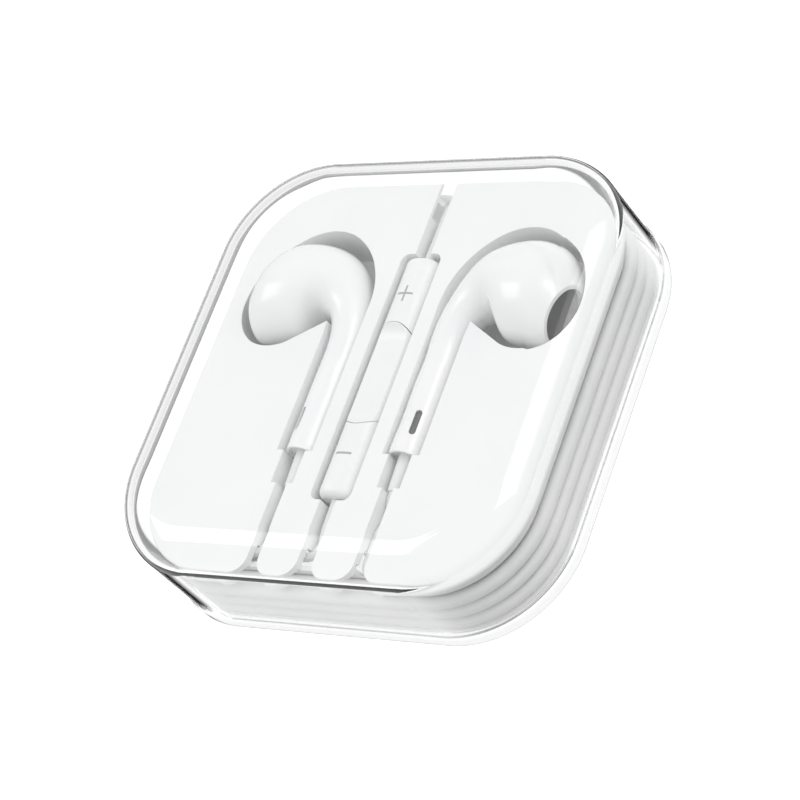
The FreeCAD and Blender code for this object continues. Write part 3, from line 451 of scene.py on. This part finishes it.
def lid_section():
    """Outside from the top's middle down to the rim, then the inside back up."""
    centre = (LID_SIDE - LID_ROUND[0], CASE_TOP - LID_ROUND[1])
    section = [(SECTION_START, CASE_TOP), (centre[0] - 0.1, CASE_TOP)]
    section += arc(centre, LID_ROUND, 90, 0, 48)
    section += [(LID_SIDE, LID_RIM + 0.15), (LID_SIDE - 0.15, LID_RIM), (LID_SIDE - LID_WALL, LID_RIM)]
    section += inner_arc(centre, LID_ROUND, LID_WALL, 0, 90, 48)
    section += [(centre[0] - 0.1, CASE_TOP - LID_WALL), (SECTION_START, CASE_TOP - LID_WALL)]
    return section


def base_section():
    """Inside floor from its middle out, over the rim and round the outside to the underside."""
    section = [(SECTION_START, BASE_FLOOR), (BASE_INSIDE - 0.15, BASE_FLOOR)]
    section += [(BASE_INSIDE, BASE_FLOOR + 0.15), (BASE_INSIDE, BASE_RIM)]
    section += [(BASE_SIDE - 0.1, BASE_RIM), (BASE_SIDE, BASE_RIM - 0.1)]
    section += arc((BASE_SIDE - BASE_EDGE, BASE_EDGE), (BASE_EDGE, BASE_EDGE), 0, -90, 12)
    section += [(14.8, 0.0), (SECTION_START, 0.0)]
    return section


swept_shell("clear_lid", lid_section(), LID_CLEAR, "lid", "case_lid")
swept_shell("clear_base", base_section(), BASE_CLEAR, "base", "case_base")


# Plus and minus marks
def key_height(x):
    """Height of the keys' top surface at a distance from the middle, in millimetres."""
    over = max(0.0, abs(x) - (REMOTE_HALF_WIDTH - REMOTE_ROUND))
    return AXIS + REMOTE_HALF_THICKNESS - REMOTE_ROUND + math.sqrt(REMOTE_ROUND ** 2 - over ** 2)


def mark_bar(verts, faces, x0, x1, y0, y1, lift=0.012):
    """Thin bar that follows the key's curve."""
    columns = 12
    first = len(verts)
    for layer in (lift, -0.03):
        for k in range(columns + 1):
            x = x0 + (x1 - x0) * k / columns
            for y in (y0, y1):
                verts.append(Vector((x, y, key_height(x) + layer)) * MM)
    half = 2 * (columns + 1)
    for k in range(columns):
        a = first + 2 * k
        faces.append((a, a + 2, a + 3, a + 1))
        b = a + half
        faces.append((b, b + 1, b + 3, b + 2))
        faces.append((a, b, b + 2, a + 2))
        faces.append((a + 1, a + 3, b + 3, b + 1))
    end = first + 2 * columns
    faces.append((first, first + 1, first + half + 1, first + half))
    faces.append((end, end + half, end + half + 1, end + 1))


def key_mark(name, body, middle, upright):
    """Plus or minus sign printed on a key."""
    verts, faces = [], []
    half, thick = 1.25, 0.15
    mark_bar(verts, faces, -half, half, middle - thick, middle + thick)
    if upright:
        mark_bar(verts, faces, -thick, thick, middle + thick, middle + half)
        mark_bar(verts, faces, -thick, thick, middle - half, middle - thick)
    mesh = bpy.data.meshes.new(name)
    mesh.from_pydata([tuple(v) for v in verts], [], faces)
    mesh.validate()
    mesh.materials.append(MARK_GREY)
    mark = bpy.data.objects.new(name, mesh)
    bpy.context.scene.collection.objects.link(mark)
    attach(mark, body)


key_mark("plus_mark", "volume_up_key", KEY_MARK_Y, True)
key_mark("minus_mark", "volume_down_key", -KEY_MARK_Y, False)


# Floor, light and camera

# Brightness of the surroundings by the sine of the elevation, behind and in front of the case
SKY_BEHIND = ((-1.0, 1.25), (-0.1, 1.0), (0.1, 0.83), (1.0, 0.83))
SKY_IN_FRONT = ((-1.0, 0.98), (-0.76, 0.95), (-0.7, 0.2), (-0.3, 0.25), (0.0, 0.5), (0.35, 0.83),
                (1.0, 0.83))

# Direction of the case's front, and where the surroundings behind and in front blend
FRONT = (0.83, -0.56, 0.0)
FRONT_FADE = (-0.2, 0.5)

# Dark frame round the white backdrop beyond the case, by the angle from the backdrop's middle
BACKDROP = (-0.600, 0.405, -0.690)
FRAME_EDGE = math.cos(math.radians(60))
FRAME_ANGLES = ((0, 0), (13, 0), (14.5, 1), (27, 1), (33, 0))
FRAME_DARK = ((-1.0, 1.1), (-0.745, 1.1), (-0.725, 0.01), (-0.55, 0.01), (-0.4, 0.3), (1.0, 0.3))

# The photo's camera, and a floor a hair below the case
CAMERA_PLACE = (0.22008, -0.14850, 0.25893)
CAMERA_TURN = (0.644718, 0.529510, 0.386379)
CAMERA_LENS = 122.14
FLOOR_REACH = 3.0
FLOOR_LEVEL = -0.00002


def floor():
    mesh = bpy.data.meshes.new("floor")
    sides = ((-1, -1), (1, -1), (1, 1), (-1, 1))
    corners = [(x * FLOOR_REACH, y * FLOOR_REACH, FLOOR_LEVEL) for x, y in sides]
    mesh.from_pydata(corners, [], [(0, 1, 2, 3)])
    made, tree_nodes, links = material("floor_white")
    shader = tree_nodes["Principled BSDF"]
    paper = object_noise(tree_nodes, links, 800.0, 3.0)
    links.new(tint(tree_nodes, links, paper.outputs["Fac"], (0.38, 0.38, 0.38), (0.42, 0.42, 0.42)),
              shader.inputs["Base Color"])
    shader.inputs["Roughness"].default_value = 0.9
    shader.inputs["Emission Color"].default_value = (1, 1, 1, 1)
    shader.inputs["Emission Strength"].default_value = 0.8
    mesh.materials.append(made)
    made_floor = bpy.data.objects.new("floor", mesh)
    bpy.context.scene.collection.objects.link(made_floor)
    made_floor.visible_diffuse = False
    made_floor.visible_glossy = False
    made_floor.visible_transmission = False


def height_ramp(tree_nodes, links, height, stops):
    """Brightness by height on the sky sphere; each stop is (sine of the elevation, level)."""
    ramp = tree_nodes.new("ShaderNodeValToRGB")
    elements = ramp.color_ramp.elements
    while len(elements) < len(stops):
        elements.new(0.5)
    for element, (where, level) in zip(elements, stops):
        element.position = (where + 1) / 2
        element.color = (level, level, level, 1)
    links.new(height, ramp.inputs["Fac"])
    return ramp.outputs["Color"]


def dark_frame(tree_nodes, links, direction):
    """Share of darkness by the angle from the backdrop's middle."""
    facing = tree_nodes.new("ShaderNodeVectorMath")
    facing.operation = "DOT_PRODUCT"
    facing.inputs[1].default_value = BACKDROP
    links.new(direction, facing.inputs[0])
    spread = tree_nodes.new("ShaderNodeMapRange")
    spread.inputs["From Min"].default_value = FRAME_EDGE
    links.new(facing.outputs["Value"], spread.inputs["Value"])
    ramp = tree_nodes.new("ShaderNodeValToRGB")
    ramp.name = "frame ramp"
    elements = ramp.color_ramp.elements
    while len(elements) < len(FRAME_ANGLES):
        elements.new(0.5)
    for element, (angle, level) in zip(elements, reversed(FRAME_ANGLES)):
        element.position = (math.cos(math.radians(angle)) - FRAME_EDGE) / (1 - FRAME_EDGE)
        element.color = (level, level, level, 1)
    links.new(spread.outputs["Result"], ramp.inputs["Fac"])
    return ramp.outputs["Color"]


def world_light():
    """White surroundings, with a dark frame round the backdrop that lies beyond the case."""
    world = bpy.data.worlds.new("studio")
    bpy.context.scene.world = world
    world.use_nodes = True
    tree_nodes, links = world.node_tree.nodes, world.node_tree.links
    place = tree_nodes.new("ShaderNodeTexCoord")
    split = tree_nodes.new("ShaderNodeSeparateXYZ")
    links.new(place.outputs["Generated"], split.inputs["Vector"])
    height = tree_nodes.new("ShaderNodeMapRange")
    height.inputs["From Min"].default_value = -1.0
    links.new(split.outputs["Z"], height.inputs["Value"])
    facing = tree_nodes.new("ShaderNodeVectorMath")
    facing.operation = "DOT_PRODUCT"
    facing.inputs[1].default_value = FRONT
    links.new(place.outputs["Generated"], facing.inputs[0])
    share = tree_nodes.new("ShaderNodeMapRange")
    share.interpolation_type = "SMOOTHSTEP"
    share.inputs["From Min"].default_value = FRONT_FADE[0]
    share.inputs["From Max"].default_value = FRONT_FADE[1]
    links.new(facing.outputs["Value"], share.inputs["Value"])
    blend = tree_nodes.new("ShaderNodeMix")
    blend.data_type = "RGBA"
    links.new(share.outputs["Result"], blend.inputs[0])
    links.new(height_ramp(tree_nodes, links, height.outputs["Result"], SKY_BEHIND), blend.inputs[6])
    links.new(height_ramp(tree_nodes, links, height.outputs["Result"], SKY_IN_FRONT), blend.inputs[7])
    dark = tree_nodes.new("ShaderNodeMix")
    dark.data_type = "RGBA"
    links.new(dark_frame(tree_nodes, links, place.outputs["Generated"]), dark.inputs[0])
    links.new(blend.outputs[2], dark.inputs[6])
    links.new(height_ramp(tree_nodes, links, height.outputs["Result"], FRAME_DARK), dark.inputs[7])
    links.new(dark.outputs[2], tree_nodes["Background"].inputs["Color"])
    tree_nodes["Background"].inputs["Strength"].default_value = 1.0


def softbox(name, azimuth, elevation, distance, side, brightness):
    """Square soft light seen from the case in the given direction; brightness is its radiance."""
    turn, rise = math.radians(azimuth), math.radians(elevation)
    away = Vector((math.sin(turn) * math.cos(rise), -math.cos(turn) * math.cos(rise), math.sin(rise)))
    light = bpy.data.lights.new(name, "AREA")
    light.shape = "SQUARE"
    light.size = side
    light.energy = brightness * math.pi * side * side
    lamp = bpy.data.objects.new(name, light)
    lamp.location = away * distance + Vector((0, 0, 0.01))
    lamp.rotation_euler = (-away).to_track_quat("-Z", "Y").to_euler()
    bpy.context.scene.collection.objects.link(lamp)


def camera():
    lens = bpy.data.cameras.new("camera")
    lens.sensor_width = 36.0
    lens.lens = CAMERA_LENS
    lens.clip_start = 0.01
    lens.clip_end = 20.0
    eye = bpy.data.objects.new("camera", lens)
    eye.location = CAMERA_PLACE
    eye.rotation_euler = CAMERA_TURN
    bpy.context.scene.collection.objects.link(eye)
    bpy.context.scene.camera = eye


floor()
world_light()
softbox("key", 270, 51, 1.2, 0.5, 1.7)
softbox("rim", 124, 40, 1.0, 0.32, 2.2)
softbox("rim_glow", 124, 42, 1.1, 0.8, 0.9)
camera()
bpy.context.scene.view_settings.view_transform = "Standard"
bpy.context.scene.view_settings.look = "None"
